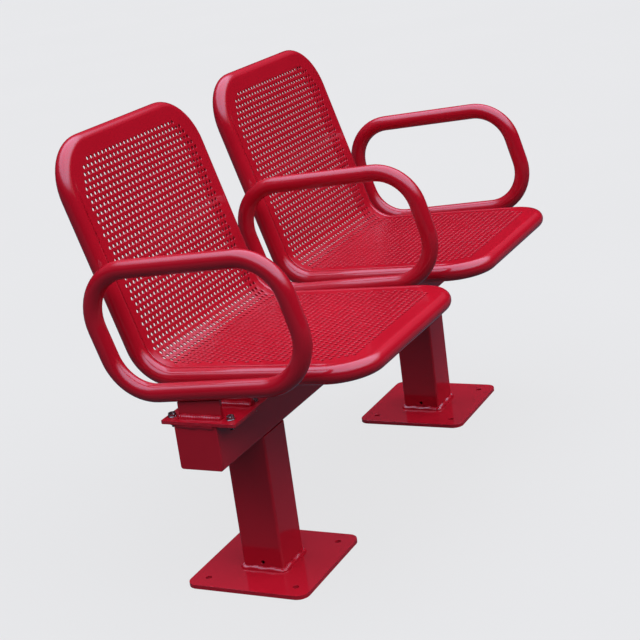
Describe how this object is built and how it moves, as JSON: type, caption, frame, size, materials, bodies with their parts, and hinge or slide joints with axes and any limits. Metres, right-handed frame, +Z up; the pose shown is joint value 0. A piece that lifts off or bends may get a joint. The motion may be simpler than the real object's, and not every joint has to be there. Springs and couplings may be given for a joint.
{
  "type": "public bench",
  "caption": "Beam-mounted public bench: bent-tube seats with perforated steel shells and tube arm loops, on a square steel beam and posts with floor plates.",
  "frame": {"origin": "on the floor under the beam's axis, midway between the two posts", "axes": "+Z up; +X along the beam, towards the sitter's left hand; -Y the way a sitter faces"},
  "size_m": [1.194, 0.5795, 0.8457],
  "materials": {
    "red_powder_coat": "gloss powder coat on steel",
    "zinc_plated_steel": "bright zinc plating"
  },
  "bodies": {
    "root": {"base_plate_left": "red_powder_coat", "base_plate_right": "red_powder_coat", "post_left": "red_powder_coat", "post_right": "red_powder_coat", "post_foot_weld_left": "red_powder_coat", "post_foot_weld_right": "red_powder_coat", "cross_beam": "red_powder_coat", "beam_end_cap_left": "red_powder_coat", "beam_end_cap_right": "red_powder_coat", "saddle_plate_left": "red_powder_coat", "saddle_plate_middle": "red_powder_coat", "saddle_plate_right": "red_powder_coat", "saddle_welds": "red_powder_coat", "bracket_flange_left": "red_powder_coat", "bracket_flange_middle": "red_powder_coat", "bracket_flange_right": "red_powder_coat", "bracket_bolts": "zinc_plated_steel", "bracket_washers": "zinc_plated_steel", "bracket_nuts": "zinc_plated_steel", "arm_upright_left": "red_powder_coat", "arm_upright_middle": "red_powder_coat", "arm_upright_right": "red_powder_coat", "seat_upright_left_outer": "red_powder_coat", "seat_upright_left_inner": "red_powder_coat", "seat_upright_right_inner": "red_powder_coat", "seat_upright_right_outer": "red_powder_coat", "upright_welds": "red_powder_coat", "arm_loop_left": "red_powder_coat", "arm_loop_middle": "red_powder_coat", "arm_loop_right": "red_powder_coat", "seat_frame_left": "red_powder_coat", "seat_frame_right": "red_powder_coat", "seat_shell_left": "red_powder_coat", "seat_shell_right": "red_powder_coat"}
  },
  "joints": []
}
